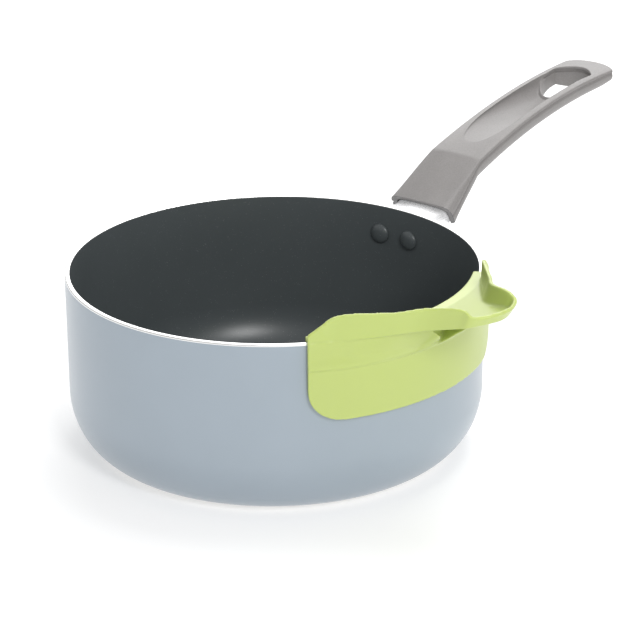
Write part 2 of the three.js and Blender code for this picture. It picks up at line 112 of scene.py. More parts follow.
class SmoothLine:
    """A centripetal Catmull-Rom curve through points, read by its share of arc length."""

    def __init__(self, points: list[Vector], samples_per_span: int = 24) -> None:
        """Sample the curve through the points.

        Args:
            points: The points that the curve passes through, in order.
            samples_per_span: How finely each span between two points is sampled.
        """
        first = points[0] * 2 - points[1]
        last = points[-1] * 2 - points[-2]
        held = [first, *points, last]
        self.samples = [points[0].copy()]
        for i in range(len(points) - 1):
            for k in range(1, samples_per_span + 1):
                self.samples.append(self._span(held[i:i + 4], k / samples_per_span))
        self.lengths = [0.0]
        for a, b in zip(self.samples, self.samples[1:]):
            self.lengths.append(self.lengths[-1] + (b - a).length)

    @staticmethod
    def _span(four: list[Vector], share: float) -> Vector:
        """Return the point a share of the way between the two middle points of four."""
        knots = [0.0]
        for a, b in zip(four, four[1:]):
            knots.append(knots[-1] + max((b - a).length, EPSILON) ** 0.5)
        at = mix(knots[1], knots[2], share)
        level = list(four)
        for width in (1, 2):
            level = [
                level[i].lerp(level[i + 1], (at - knots[i]) / (knots[i + width] - knots[i]))
                for i in range(len(level) - 1)
            ]
        return level[0].lerp(level[1], share)

    def at(self, share: float) -> Vector:
        """Return the point at a share of the curve's length."""
        want = clamp(share) * self.lengths[-1]
        i = clamp(bisect.bisect_left(self.lengths, want), 1, len(self.lengths) - 1)
        span = self.lengths[i] - self.lengths[i - 1]
        part = (want - self.lengths[i - 1]) / max(span, EPSILON)
        return self.samples[i - 1].lerp(self.samples[i], part)


# ---------------- meshes


def bent_block(cells: tuple[int, int, int],
               place: Callable[[float, float, float], Vector]) -> bmesh.types.BMesh:
    """Cut a cube into cells and bend it to shape.

    Args:
        cells: How many cells the block has along each of its three directions.
        place: Gives the point for the shares 0 to 1 of the three directions.

    Returns:
        The closed mesh.
    """
    bm = bmesh.new()
    bmesh.ops.create_cube(bm, size=1.0)
    for axis, count in enumerate(cells):
        if count < 2:
            continue
        along = [e for e in bm.edges if abs((e.verts[0].co - e.verts[1].co)[axis]) > EPSILON]
        bmesh.ops.subdivide_edges(bm, edges=along, cuts=count - 1, use_grid_fill=True)
    for vert in bm.verts:
        vert.co = place(*(c + 0.5 for c in vert.co))
    return bm


def tube(sides: int, stations: int, place: Callable[[int, int], Vector]) -> bmesh.types.BMesh:
    """Cut a cylinder into rings and move each point of each ring.

    Args:
        sides: How many points a ring has.
        stations: How many rings there are.
        place: Gives the point for a ring's number and a point's number on it.

    Returns:
        The mesh, closed at both ends.
    """
    bm = bmesh.new()
    bmesh.ops.create_cone(bm, cap_ends=True, cap_tris=False, segments=sides, radius1=1.0,
                          radius2=1.0, depth=1.0)
    along = [e for e in bm.edges if abs(e.verts[0].co.z - e.verts[1].co.z) > 0.5]
    bmesh.ops.subdivide_edges(bm, edges=along, cuts=stations - 2, use_grid_fill=True)
    for vert in bm.verts:
        ring = round((vert.co.z + 0.5) * (stations - 1))
        point = round(math.atan2(vert.co.y, vert.co.x) / math.tau * sides) % sides
        vert.co = place(ring, point)
    caps = [f for f in bm.faces if len(f.verts) > 4]
    bmesh.ops.triangulate(bm, faces=caps, quad_method="BEAUTY", ngon_method="BEAUTY")
    bmesh.ops.recalc_face_normals(bm, faces=bm.faces)
    return bm


def turned(outline: Iterable[tuple[float, float]], steps: int) -> bmesh.types.BMesh:
    """Spin a half outline once round the Z axis.

    Args:
        outline: The points as distance from the axis and height, from the axis to the axis.
        steps: How many flats the full turn has.

    Returns:
        The closed mesh.
    """
    bm = bmesh.new()
    verts = [bm.verts.new((radius, 0.0, height)) for radius, height in outline]
    edges = [bm.edges.new(pair) for pair in zip(verts, verts[1:])]
    bmesh.ops.spin(bm, geom=verts + edges, axis=(0, 0, 1), cent=(0, 0, 0), angle=math.tau,
                   steps=steps, use_merge=True)
    bmesh.ops.remove_doubles(bm, verts=bm.verts, dist=EPSILON)
    bmesh.ops.recalc_face_normals(bm, faces=bm.faces)
    return bm


def joined(*blocks: bmesh.types.BMesh) -> bmesh.types.BMesh:
    """Put several meshes into one, and free them."""
    whole = bmesh.new()
    for block in blocks:
        part = bpy.data.meshes.new("part")
        block.to_mesh(part)
        block.free()
        whole.from_mesh(part)
        bpy.data.meshes.remove(part)
    return whole


def as_object(name: str, bm: bmesh.types.BMesh) -> bpy.types.Object:
    """Make a scene object of a mesh, and free the mesh it came from."""
    mesh = bpy.data.meshes.new(name)
    bm.to_mesh(mesh)
    bm.free()
    obj = bpy.data.objects.new(name, mesh)
    bpy.context.scene.collection.objects.link(obj)
    return obj


def settle(obj: bpy.types.Object) -> None:
    """Apply an object's modifiers to its mesh."""
    graph = bpy.context.evaluated_depsgraph_get()
    mesh = bpy.data.meshes.new_from_object(obj.evaluated_get(graph))
    before = obj.data
    obj.modifiers.clear()
    obj.data = mesh
    bpy.data.meshes.remove(before)
    mesh.name = obj.name


def cut(obj: bpy.types.Object, *cutters: bmesh.types.BMesh) -> None:
    """Take closed meshes out of an object.

    Args:
        obj: The object, a closed mesh.
        cutters: The closed meshes to take out, which are freed.
    """
    tools = [as_object("cutter", bm) for bm in cutters]
    for tool in tools:
        boolean = obj.modifiers.new("cut", "BOOLEAN")
        boolean.operation = "DIFFERENCE"
        boolean.solver = "MANIFOLD"
        boolean.object = tool
    settle(obj)
    for tool in tools:
        mesh = tool.data
        bpy.data.objects.remove(tool)
        bpy.data.meshes.remove(mesh)


def melt(obj: bpy.types.Object, voxel: float, rounds: int) -> None:
    """Make one skin of overlapping closed meshes, with softly rounded edges.

    Args:
        obj: The object that holds the meshes.
        voxel: The size of the new mesh's cells.
        rounds: How many times it is smoothed.
    """
    remesh = obj.modifiers.new("one_skin", "REMESH")
    remesh.mode = "VOXEL"
    remesh.voxel_size = voxel
    soften = obj.modifiers.new("soften", "SMOOTH")
    soften.factor = 0.5
    soften.iterations = rounds
    settle(obj)


def finish(obj: bpy.types.Object, materials: Iterable[bpy.types.Material], body: str,
           node: str, sharp: float | None = SHARP_ANGLE) -> bpy.types.Object:
    """Dress a piece, shade it smooth, hang it on its body's empty and hide the CAD node that it
    stands for.

    Args:
        obj: The piece.
        materials: Its materials, in the order of its faces' material numbers.
        body: The body that it moves with.
        node: The CAD node that it stands for.
        sharp: Edges that turn by more than this stay sharp; None keeps none sharp.

    Returns:
        The piece.
    """
    for material in materials:
        obj.data.materials.append(material)
    obj.data.shade_smooth()
    if sharp is not None:
        obj.data.set_sharp_from_angle(angle=sharp)
    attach(obj, body)
    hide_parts(node)
    faces = sum(len(p.vertices) - 2 for p in obj.data.polygons)
    log.info("%s: %d triangles on body %s", obj.name, faces, body)
    return obj


# ---------------- shader maths


def operator(operation: str, swapped: bool = False) -> Callable:
    """Return a method of Value that adds one Math node.

    Args:
        operation: The Math node's operation.
        swapped: Whether the other term comes first.

    Returns:
        The method, which takes the other term and returns the result.
    """

    def method(self: "Value", other: "Value | float") -> "Value":
        terms = (other, self) if swapped else (self, other)
        node = self.board.node("ShaderNodeMath", {"operation": operation}, dict(enumerate(terms)))
        return self.board.value(node)

    return method


class Value:
    """A number that varies over a surface: an output socket whose arithmetic adds nodes."""

    def __init__(self, board: "Board", socket: bpy.types.NodeSocket) -> None:
        """Wrap an output socket of a board's node tree."""
        self.board = board
        self.socket = socket

    __add__ = __radd__ = operator("ADD")
    __sub__ = operator("SUBTRACT")
    __rsub__ = operator("SUBTRACT", swapped=True)
    __mul__ = __rmul__ = operator("MULTIPLY")
    __pow__ = operator("POWER")
    __rpow__ = operator("POWER", swapped=True)

    def step(self, low: float, high: float) -> "Value":
        """Return 0 below low, 1 above high and a smooth rise between them."""
        node = self.board.node("ShaderNodeMapRange", {"interpolation_type": "SMOOTHSTEP"},
                               {"Value": self, "From Min": low, "From Max": high})
        return self.board.value(node)


Colour = tuple[float, float, float]


class Board:
    """The node tree of one new material, with the few ways its nodes are made."""

    def __init__(self, name: str) -> None:
        """Start a material that holds one Principled shader."""
        self.material = bpy.data.materials.new(name)
        self.material.use_nodes = True
        self.tree = self.material.node_tree
        self.tree.nodes.clear()
        self.shader = self.node("ShaderNodeBsdfPrincipled")
        self.node("ShaderNodeOutputMaterial", {}, {"Surface": self.shader.outputs[0]})
        self.place = self.node("ShaderNodeTexCoord").outputs["Object"]

    def node(self, kind: str, settings: dict | None = None,
             inputs: dict | None = None) -> bpy.types.Node:
        """Add a node.

        Args:
            kind: The node's type.
            settings: Its own settings, which are set before its sockets.
            inputs: The value or link of each socket, by its name, identifier or number.

        Returns:
            The node.
        """
        node = self.tree.nodes.new(kind)
        for key, value in (settings or {}).items():
            setattr(node, key, value)
        for key, value in (inputs or {}).items():
            by_id = {s.identifier: s for s in node.inputs}
            self._fill(by_id.get(key) or node.inputs[key], value)
        return node

    def _fill(self, socket: bpy.types.NodeSocket, value: object) -> None:
        """Link a socket to a value or another socket, or set it to a constant."""
        if isinstance(value, Value):
            value = value.socket
        if isinstance(value, bpy.types.NodeSocket):
            self.tree.links.new(value, socket)
        else:
            socket.default_value = value

    def value(self, node: bpy.types.Node, output: int | str = 0) -> Value:
        """Return a node's output as a number to work with."""
        return Value(self, node.outputs[output])

    def noise(self, size: float, detail: float = 2.0, rough: float = 0.5,
              vector: bpy.types.NodeSocket | None = None) -> Value:
        """Return cloudy noise from 0 to 1.

        Args:
            size: How large its features are, in metres.
            detail: How many finer layers it has.
            rough: How strong the finer layers are.
            vector: Where it is read; the object's own coordinates if None.

        Returns:
            The noise.
        """
        node = self.node("ShaderNodeTexNoise", {},
                         {"Vector": vector or self.place, "Scale": 1.0 / size,
                          "Detail": detail, "Roughness": rough})
        return self.value(node, "Fac")

    def cells(self, size: float) -> Value:
        """Return the distance to the nearest of scattered points, in shares of their spacing."""
        node = self.node("ShaderNodeTexVoronoi", {}, {"Vector": self.place, "Scale": 1.0 / size})
        return self.value(node, "Distance")

    def turning(self, size: float, stretch: float) -> Value:
        """Return the fine lines that turning on a lathe about Z leaves.

        Args:
            size: How far apart the lines are, in metres.
            stretch: How many times longer than that they run around the axis.

        Returns:
            The lines, from 0 to 1.
        """
        apart = self.node("ShaderNodeSeparateXYZ", {}, {0: self.place})
        x, y, z = (self.value(apart, i) for i in range(3))
        radius = (x * x + y * y) ** 0.5
        bearing = self.node("ShaderNodeMath", {"operation": "ARCTAN2"}, {0: y, 1: x})
        swept = self.value(bearing) * (0.1 / stretch)
        along = self.node("ShaderNodeCombineXYZ", {}, {0: radius, 1: swept, 2: z})
        return self.noise(size, 3.0, 0.6, along.outputs[0])

    def blend(self, factor: Value, *ends: Colour | bpy.types.NodeSocket) -> bpy.types.NodeSocket:
        """Return a colour that goes from the first end to the second with the factor."""
        a, b = ((*end, 1.0) if isinstance(end, tuple) else end for end in ends)
        node = self.node("ShaderNodeMix", {"data_type": "RGBA"},
                         {"Factor_Float": factor, "A_Color": a, "B_Color": b})
        return next(s for s in node.outputs if s.identifier == "Result_Color")

    def bump(self, height: Value, depth: float) -> bpy.types.NodeSocket:
        """Return the normals of a relief.

        Args:
            height: The relief, from 0 to 1.
            depth: How deep it is, in metres.

        Returns:
            The Bump node's output.
        """
        inputs = {"Height": height, "Distance": depth, "Strength": 1.0}
        return self.node("ShaderNodeBump", {}, inputs).outputs[0]

    def set(self, **sockets: object) -> None:
        """Set the shader's sockets, named with _ for a space."""
        for name, value in sockets.items():
            self._fill(self.shader.inputs[name.replace("_", " ")], value)


def shifted(colour: Colour, by: float) -> Colour:
    """Return a colour made lighter or darker by a share of itself."""
    return tuple(c * (1 + by) for c in colour)


class Lay(Enum):
    """Which way the fine lines of a worked metal run."""

    ROUND = "around the pan's axis"
    CROSS = "along the handle"


@dataclass(frozen=True)
class Enamel:
    """A glossy baked coat with a fine ripple, as on the outside of a pan."""

    name: str
    colour: Colour
    roughness: float = 0.33
    metallic: float = 0.25
    coat: float = 0.24
    cloud: float = 30 * MM
    ripple: float = 1.6 * MM
    ripple_depth: float = 0.010 * MM
    grain: float = 0.25 * MM
    tone: float = 0.07
    coat_roughness: float = 0.16

    def material(self) -> bpy.types.Material:
        """Return the finish as a material."""
        board = Board(self.name)
        clouds = board.noise(self.cloud, 3.0)
        grain = board.noise(self.grain, 1.0)
        tone = clouds * 0.6 + grain * 0.4
        colour = board.blend(tone, shifted(self.colour, -self.tone),
                             shifted(self.colour, self.tone))
        ripple = board.bump(board.noise(self.ripple), self.ripple_depth)
        board.set(Base_Color=colour, Metallic=self.metallic, Coat_Weight=self.coat,
                  Coat_Roughness=self.coat_roughness,
                  Roughness=clouds * 0.08 + (self.roughness - 0.04),
                  Normal=ripple)
        return board.material


@dataclass(frozen=True)
class NonStick:
    """A dark sprayed non-stick coat with fine light flecks."""

    name: str
    colour: Colour
    fleck: Colour = (0.2, 0.21, 0.22)
    roughness: float = 0.33
    fleck_spacing: float = 0.9 * MM
    fleck_radius: float = 0.2
    grain: float = 0.45 * MM
    grain_depth: float = 0.03 * MM
    patch: float = 2.5 * MM
    cloud: float = 45 * MM

    def material(self) -> bpy.types.Material:
        """Return the finish as a material."""
        board = Board(self.name)
        grain = board.noise(self.grain, 3.0, 0.65)
        near = 1 - board.cells(self.fleck_spacing).step(0.5 * self.fleck_radius, self.fleck_radius)
        some = board.noise(self.patch, 1.0).step(0.5, 0.62)
        cloud = board.noise(self.cloud)
        dark = board.blend(cloud, shifted(self.colour, -0.1), shifted(self.colour, 0.12))
        board.set(Base_Color=board.blend(near * some, dark, self.fleck),
                  Roughness=grain * 0.16 + (self.roughness - 0.08),
                  Normal=board.bump(grain, self.grain_depth))
        return board.material


@dataclass(frozen=True)
class WorkedMetal:
    """Bare metal with the fine lines of turning or brushing, and soft smudges."""

    name: str
    colour: Colour
    roughness: float
    lay: Lay
    line: float = 0.18 * MM
    stretch: float = 40.0
    depth: float = 0.004 * MM
    contrast: float = 0.08
    metallic: float = 1.0
    smudge: float = 14 * MM

    def material(self) -> bpy.types.Material:
        """Return the finish as a material."""
        board = Board(self.name)
        if self.lay is Lay.ROUND:
            lines = board.turning(self.line, self.stretch)
        else:
            squash = board.node("ShaderNodeMapping", {},
                                {"Vector": board.place, "Scale": (1 / self.stretch, 1.0, 1.0)})
            lines = board.noise(self.line, 3.0, 0.6, squash.outputs[0])
        smudge = board.noise(self.smudge, 3.0, 0.6)
        colour = board.blend(lines * 0.6 + smudge * 0.4, shifted(self.colour, -self.contrast),
                             shifted(self.colour, 0.05))
        board.set(Base_Color=colour, Metallic=self.metallic,
                  Roughness=lines * 0.08 + smudge * 0.06 + (self.roughness - 0.07),
                  Normal=board.bump(lines, self.depth))
        return board.material


@dataclass(frozen=True)
class Moulded:
    """Moulded plastic with the fine grain of its tool."""

    name: str
    colour: Colour
    roughness: float
    grain: float
    grain_depth: float
    tone: float = 0.05
    glow: float = 0.0
    glow_reach: float = 3 * MM
    glow_tint: Colour = (1.0, 1.0, 1.0)
    coat: float = 0.0
    coat_roughness: float = 0.3
    cloud: float = 18 * MM

    def material(self) -> bpy.types.Material:
        """Return the finish as a material."""
        board = Board(self.name)
        grain = board.noise(self.grain, 2.0, 0.6)
        cloud = board.noise(self.cloud, 3.0, 0.55)
        tone = grain * 0.55 + cloud * 0.45
        colour = board.blend(tone, shifted(self.colour, -self.tone),
                             shifted(self.colour, self.tone))
        board.set(Base_Color=colour, Roughness=cloud * 0.1 + (self.roughness - 0.05),
                  Normal=board.bump(grain, self.grain_depth),
                  Coat_Weight=self.coat, Coat_Roughness=self.coat_roughness)
        if self.glow > 0:
            board.set(Subsurface_Weight=self.glow, Subsurface_Scale=self.glow_reach,
                      Subsurface_Radius=self.glow_tint)
        return board.material


class Finishes:
    """Every finish of the saucepan, each made once."""

    def __init__(self) -> None:
        """Make the materials."""
        bare = (0.86, 0.86, 0.85)
        self.outside = Enamel("blue_grey_coat", (0.318, 0.37, 0.42)).material()
        self.inside = NonStick("non_stick", (0.072, 0.083, 0.087)).material()
        self.rim = WorkedMetal("turned_rim", bare, 0.3, Lay.ROUND, metallic=0.9).material()
        self.base = WorkedMetal("turned_base_plate", (0.6, 0.6, 0.61), 0.3, Lay.ROUND,
                                line=0.4 * MM, depth=0.01 * MM).material()
        self.bracket = WorkedMetal("satin_bracket", (0.72, 0.72, 0.73), 0.38, Lay.CROSS,
                                   line=0.3 * MM).material()
        self.guard = WorkedMetal("polished_guard", (0.96, 0.96, 0.97), 0.28, Lay.CROSS,
                                 line=0.4 * MM, depth=0.0001 * MM, metallic=0.4).material()
        self.screw = WorkedMetal("screw_steel", (0.6, 0.6, 0.62), 0.3, Lay.CROSS,
                                 line=0.15 * MM).material()
        self.tail = WorkedMetal("rivet_tail", (0.75, 0.75, 0.76), 0.34, Lay.CROSS,
                                line=0.2 * MM).material()
        self.handle = Moulded("warm_grey_plastic", (0.225, 0.214, 0.209), 0.44, 0.7 * MM,
                              0.06 * MM, tone=0.35).material()
        self.spout = Moulded("lime_plastic", (0.455, 0.54, 0.155), 0.4, 0.5 * MM, 0.006 * MM,
                             tone=0.03, coat=0.3, glow=0.22, glow_reach=4 * MM,
                             glow_tint=(1.0, 1.0, 0.35)).material()


# ---------------- the pan


@dataclass
class Pan:
    """The pressed body, coated outside and inside, with bare metal at its rim and base edge."""

    wall: float = 2.5 * MM
    floor_top: float = 5.0 * MM
    ring_height: float = 0.4 * MM
    corner: tuple[float, float] = (22.8 * MM, 29.9 * MM)
    inner_corner: tuple[float, float] = (20 * MM, 26 * MM)
    rim_round: float = 0.6 * MM
    bare_outside: float = 0.9 * MM
    bare_foot: float = 3.6 * MM
    turn_steps: int = 240
    radius: float = PAN_RADIUS
    rim: float = PAN_RIM

    def outline(self) -> list[tuple[float, float]]:
        """Return the half outline, from the axis under the floor round to the axis above it."""
        plate_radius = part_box("base_plate")[1].x
        plate_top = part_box("base_plate")[1].z
        recess = plate_radius + CLEARANCE
        inner = self.radius - self.wall
        foot = self.radius - self.corner[0]
        round_ = self.rim_round
        return [
            (0.0, plate_top + CLEARANCE),
            (recess, plate_top + CLEARANCE),
            (recess, self.ring_height),
            (mix(recess, foot, 0.8), self.ring_height),
            *quarter((foot, self.ring_height + self.corner[1]), self.corner, -90, 0, 28),
            (self.radius, mix(self.ring_height + self.corner[1], self.rim, 0.5)),
            (self.radius, self.rim - self.bare_outside),
            *quarter((self.radius - round_, self.rim - round_), (round_, round_), 0, 90, 4),
            *quarter((inner + round_, self.rim - round_), (round_, round_), 90, 180, 4),
            (inner, mix(self.floor_top + self.inner_corner[1], self.rim, 0.5)),
            *quarter((inner - self.inner_corner[0], self.floor_top + self.inner_corner[1]),
                     self.inner_corner, 0, -90, 24),
            (0.5 * inner, self.floor_top),
            (0.0, self.floor_top),
            (0.0, plate_top + CLEARANCE),
        ]

    def finish_of(self, face: bmesh.types.BMFace) -> int:
        """Return which of the outside, inside and bare finishes a face wears."""
        middle = face.calc_center_median()
        reach = math.hypot(middle.x, middle.y)
        if middle.z > self.rim - self.bare_outside:
            return 1 if reach < self.radius - self.wall + 0.3 * self.rim_round else 2
        outwards = (face.normal.x * middle.x + face.normal.y * middle.y) / max(reach, EPSILON)
        if middle.z > self.floor_top - EPSILON and (outwards < -0.01 or face.normal.z > 0.7):
            return 1
        return 2 if middle.z < self.bare_foot else 0

    def build(self, finishes: Finishes) -> bpy.types.Object:
        """Make the body and dress it.

        Args:
            finishes: The materials to choose from.

        Returns:
            The pan body.
        """
        bm = turned(self.outline(), self.turn_steps)
        bm.normal_update()
        for face in bm.faces:
            face.material_index = self.finish_of(face)
        pan = as_object("pan_shell", bm)
        coats = (finishes.outside, finishes.inside, finishes.rim)
        return finish(pan, coats, "pan", "pan_body")


@dataclass
class BasePlate:
    """The steel disc pressed into the underside, with a few turned rings."""

    bevel: float = 0.5 * MM
    ring_depth: float = 0.15 * MM
    ring_half: float = 0.6 * MM
    rings: int = 5

    def build(self, finishes: Finishes) -> bpy.types.Object:
        """Make the disc and dress it."""
        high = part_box("base_plate")[1]
        radius, top = high.x, high.z
        outline = [(0.0, 0.0)]
        for i in range(self.rings):
            at = radius * (i + 1) / (self.rings + 1)
            outline += [(at - self.ring_half, 0.0), (at, self.ring_depth),
                        (at + self.ring_half, 0.0)]
        outline += quarter((radius - self.bevel, self.bevel), (self.bevel, self.bevel), -90, 0, 4)
        outline += [(radius, top), (0.0, top), (0.0, 0.0)]
        plate = as_object("base_disc", turned(outline, 180))
        return finish(plate, [finishes.base], "pan", "base_plate")


@dataclass
class Rivets:
    """The two rivets that hold the handle bracket: a coated dome inside, a bare tail outside."""

    pitch: float = 18.4 * MM
    below_rim: float = 14.7 * MM
    saddle: float = 2.2 * MM
    shank: float = 2.2 * MM
    dome: tuple[float, float] = (5.0 * MM, 2.4 * MM)
    dome_edge: float = 0.35 * MM
    tail: tuple[float, float] = (3.6 * MM, 1.8 * MM)

    def build(self, pan: Pan, finishes: Finishes) -> list[bpy.types.Object]:
        """Make both rivets and dress them.

        Args:
            pan: The pan whose wall they go through.
            finishes: The materials to choose from.

        Returns:
            The two rivets.
        """
        made = []
        for side, node in ((1, "rivet_left"), (-1, "rivet_right")):
            angle = side * self.pitch / 2 / pan.radius
            bm = self.shape(pan)
            for face in bm.faces:
                face.material_index = 0 if face.calc_center_median().z < pan.radius else 1
            lay = Matrix.Rotation(angle, 4, "Z") @ Matrix.Rotation(math.pi / 2, 4, "Y")
            bmesh.ops.transform(bm, verts=bm.verts,
                                matrix=Matrix.Translation((0, 0, pan.rim - self.below_rim)) @ lay)
            rivet = as_object(f"{node}_domed", bm)
            made.append(finish(rivet, (finishes.inside, finishes.tail), "pan", node))
        return made

    def shape(self, pan: Pan) -> bmesh.types.BMesh:
        """Return one rivet upright about Z, its height being the distance from the pan's axis."""
        seat = pan.radius - pan.wall - CLEARANCE
        tail_seat = pan.radius + CLEARANCE + self.saddle + CLEARANCE
        radius, height = self.dome
        edge = self.dome_edge
        outline = [
            *quarter((0.0, seat - edge), (radius, height - edge), -90, 0, 10),
            (radius, seat),
            (self.shank, seat),
            (self.shank, tail_seat),
            *quarter((0.0, tail_seat), self.tail, 0, 90, 6),
            (0.0, seat - height),
        ]
        return turned(outline, 48)


# ---------------- the handle


@dataclass
class Handle:
    """The moulded grip: flat on top with a long scoop and a hanging hole, rounded below."""

    stand_off: float = 18.4 * MM
    panel_run: float = 31.9 * MM
    grip_run: float = 126.7 * MM
    end_bulge: float = 4.9 * MM
    mouth_top: float = -1.7 * MM
    kink_top: float = 15.3 * MM
    end_top: float = 32.6 * MM
    arch: float = 19.4 * MM
    mouth_half: float = 19.2 * MM
    kink_half: float = 15.3 * MM
    waist_half: float = 14.5 * MM
    end_half: float = 15.4 * MM
    side: float = 3.8 * MM
    mouth_side: float = 10.0 * MM
    mouth_belly: float = 5.2 * MM
    belly: float = 11.2 * MM
    tip_belly: float = 7.2 * MM
    tip_round: float = 18.0 * MM
    end_corner: float = 0.9 * MM
    shell: float = 1.9 * MM
    crown: float = 0.9 * MM
    edge_round: float = 1.0 * MM
    mouth_round: float = 5.0 * MM
    groove_top: float = 1.3 * MM
    groove_height: float = 1.6 * MM
    groove_depth: float = 0.8 * MM
    groove_fade: float = 25 * MM
    scoop_past_kink: float = 11.7 * MM
    scoop_edge: float = 3.7 * MM
    scoop_depth: float = 8.6 * MM
    scoop_widen: float = 30.0 * MM
    scoop_fullness: float = 0.42
    scoop_tip_half: float = 1.2 * MM
    scoop_fade: float = 3 * MM
    ridge_height: float = 1.5 * MM
    ridge_width: float = 1.5 * MM
    ridge_foot: float = 0.9 * MM
    hole_edge: float = 4.2 * MM
    hole_behind: float = 8.0 * MM
    hole_bow: float = 8.0 * MM
    hole_length: float = 26.0 * MM
    hole_flare: float = 0.5 * MM
    hole_undercut: float = 0.8 * MM
    arm_half: float = 4.6 * MM
    arm_thick: float = 4.4 * MM
    arm_past_kink: float = 7.7 * MM
    arm_depth: float = 7.6 * MM
    cut_lead: float = 8 * MM
    guard_end_gap: float = 1 * MM
    bore_length: float = 20 * MM
    screw_inside: float = 22.6 * MM
    screw_recess: float = 2.8 * MM
    rim: float = PAN_RIM
    bowl_points: int = 22
    flat_points: int = 4
    belly_points: int = 14
    mouth: float = field(init=False)
    kink: float = field(init=False)
    end: float = field(init=False)
    slope: float = field(init=False)

    def __post_init__(self) -> None:
        """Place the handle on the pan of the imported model."""
        self.mouth = PAN_RADIUS + self.stand_off
        self.kink = self.mouth + self.panel_run
        self.end = self.kink + self.grip_run
        self.slope = (self.kink_top - self.mouth_top) / self.panel_run

    @property
    def tilt(self) -> float:
        """The angle of the front panel above the level."""
        return math.atan(self.slope)

    @property
    def hole_back(self) -> float:
        """The back of the hanging hole, at the ends of its bowed wall."""
        return self.end - self.hole_behind - self.hole_bow

    @property
    def hole_front(self) -> float:
        """The front of the hanging hole."""
        return self.hole_back - self.hole_length

    def share(self, x: float) -> float:
        """Return how far along the grip a place is, from 0 at the kink to 1 at the end."""
        return clamp((x - self.kink) / self.grip_run)

    def top(self, x: float) -> float:
        """Return the height of the top face."""
        if x <= self.kink:
            return self.rim + self.mouth_top + (x - self.mouth) * self.slope
        share = self.share(x)
        return self.rim + mix(self.kink_top, self.end_top, share) + self.arch * share * (1 - share)

    def half(self, x: float) -> float:
        """Return the half width."""
        if x <= self.kink:
            return mix(self.mouth_half, self.kink_half, (x - self.mouth) / self.panel_run)
        share = self.share(x)
        width = mix(self.kink_half, self.end_half, share)
        width -= (width - self.waist_half) * 4 * share * (1 - share)
        into = clamp((x - self.end + self.end_corner) / self.end_corner)
        return width - self.end_corner * (1 - math.sqrt(1 - into * into))

    def side_height(self, x: float) -> float:
        """Return the height of the straight sides."""
        return mix(self.side, self.mouth_side, clamp((self.kink - x) / self.panel_run))

    def belly_depth(self, x: float) -> float:
        """Return how far the underside bulges below the sides."""
        left = clamp((self.end + self.end_bulge - x) / self.tip_round)
        tip = math.sqrt(max(0.0, 1 - (1 - left) ** 2))
        along = mix(self.belly, self.tip_belly, self.share(x))
        return mix(self.mouth_belly, along, smooth_step(x, self.mouth, self.kink)) * tip

    def scoop(self, x: float) -> tuple[float, float]:
        """Return the scoop's half width and its depth."""
        start = self.kink + self.scoop_past_kink
        widened = clamp((x - start) / self.scoop_widen)
        full = self.waist_half - self.scoop_edge
        half = mix(self.scoop_tip_half, full, math.sqrt(1 - (1 - widened) ** 2))
        depth = self.scoop_depth * clamp((x - start) / (self.hole_front - start))
        fade = smooth_step(x, self.hole_back - self.scoop_fade, self.hole_back)
        return half, depth * (1 - fade)

    def ridge(self, x: float, y: float) -> float:
        """Return how high the rim round the front of the hanging hole stands out of the scoop."""
        if x > self.hole_back:
            return 0.0
        long, wide = self.hole_length, self.end_half - self.hole_edge
        along, across = (x - self.hole_back) / long, y / wide
        level = max(math.hypot(along, across), EPSILON)
        past = (level - 1) * level / max(math.hypot(along / long, across / wide), EPSILON)
        return self.ridge_height * (1 - smooth_step(past, self.ridge_width,
                                                    self.ridge_width + self.ridge_foot))

    def top_edge(self, x: float) -> float:
        """Return the radius of the top face's edges, which grows towards the mouth."""
        near_mouth = 1 - smooth_step(x, self.mouth, self.kink)
        return mix(self.edge_round, self.mouth_round, near_mouth)

    def section(self, x: float) -> list[tuple[float, float]]:
        """Return the right half of the cross-section, as sideways place and depth under the top.

        Args:
            x: The place along the handle.

        Returns:
            The points from the middle of the top face down to the middle of the belly.
        """
        half = self.half(x)
        scoop, deep = self.scoop(x)
        edge_round = self.top_edge(x)
        flat_end = half - edge_round
        points = []
        for i in range(self.bowl_points + 1):
            across = math.sin(i / self.bowl_points * math.pi / 2)
            hollow = deep * max(0.0, 1 - across * across) ** self.scoop_fullness
            hollow = max(0.0, hollow - self.ridge(x, scoop * across))
            points.append((scoop * across, hollow + self.crown * (scoop * across / half) ** 4))
        for i in range(1, self.flat_points + 1):
            y = mix(scoop, flat_end, i / self.flat_points)
            points.append((y, self.crown * (y / half) ** 4))
        edge = points[-1][1]
        for i in range(1, 7):
            turn = i / 6 * math.pi / 2
            points.append((flat_end + edge_round * math.sin(turn),
                           edge + edge_round * (1 - math.cos(turn))))
        tip = smooth_step(x, self.end - self.groove_fade, self.end)
        top = edge + edge_round + mix(self.groove_top - self.edge_round, 0.1 * MM, tip)
        high, inset = self.groove_height, half - self.groove_depth
        points += [(half - 0.1 * MM, top), (inset, top + 0.3 * high), (inset, top + 0.5 * high),
                   (half - 0.2 * MM, top + high), (half, top + 1.2 * high)]
        side = max(self.side_height(x) + edge, top + 1.3 * high)
        belly = self.belly_depth(x)
        for i in range(self.belly_points + 1):
            turn = i / self.belly_points * math.pi / 2
            points.append((half * math.cos(turn), side + belly * math.sin(turn)))
        return points

    def stations(self) -> list[float]:
        """Return where the cross-sections are, closest together at the kink and the end."""
        corner = self.end - self.end_corner
        before_hole = self.hole_front - 4 * MM
        steps = [(self.mouth, self.kink, 28), (self.kink, before_hole, 56),
                 (before_hole, self.hole_back, 64), (self.hole_back, corner, 16)]
        places = [mix(a, b, i / n) for a, b, n in steps for i in range(n)]
        places += [mix(corner, self.end, math.sin(i / 6 * math.pi / 2)) for i in range(7)]
        return places

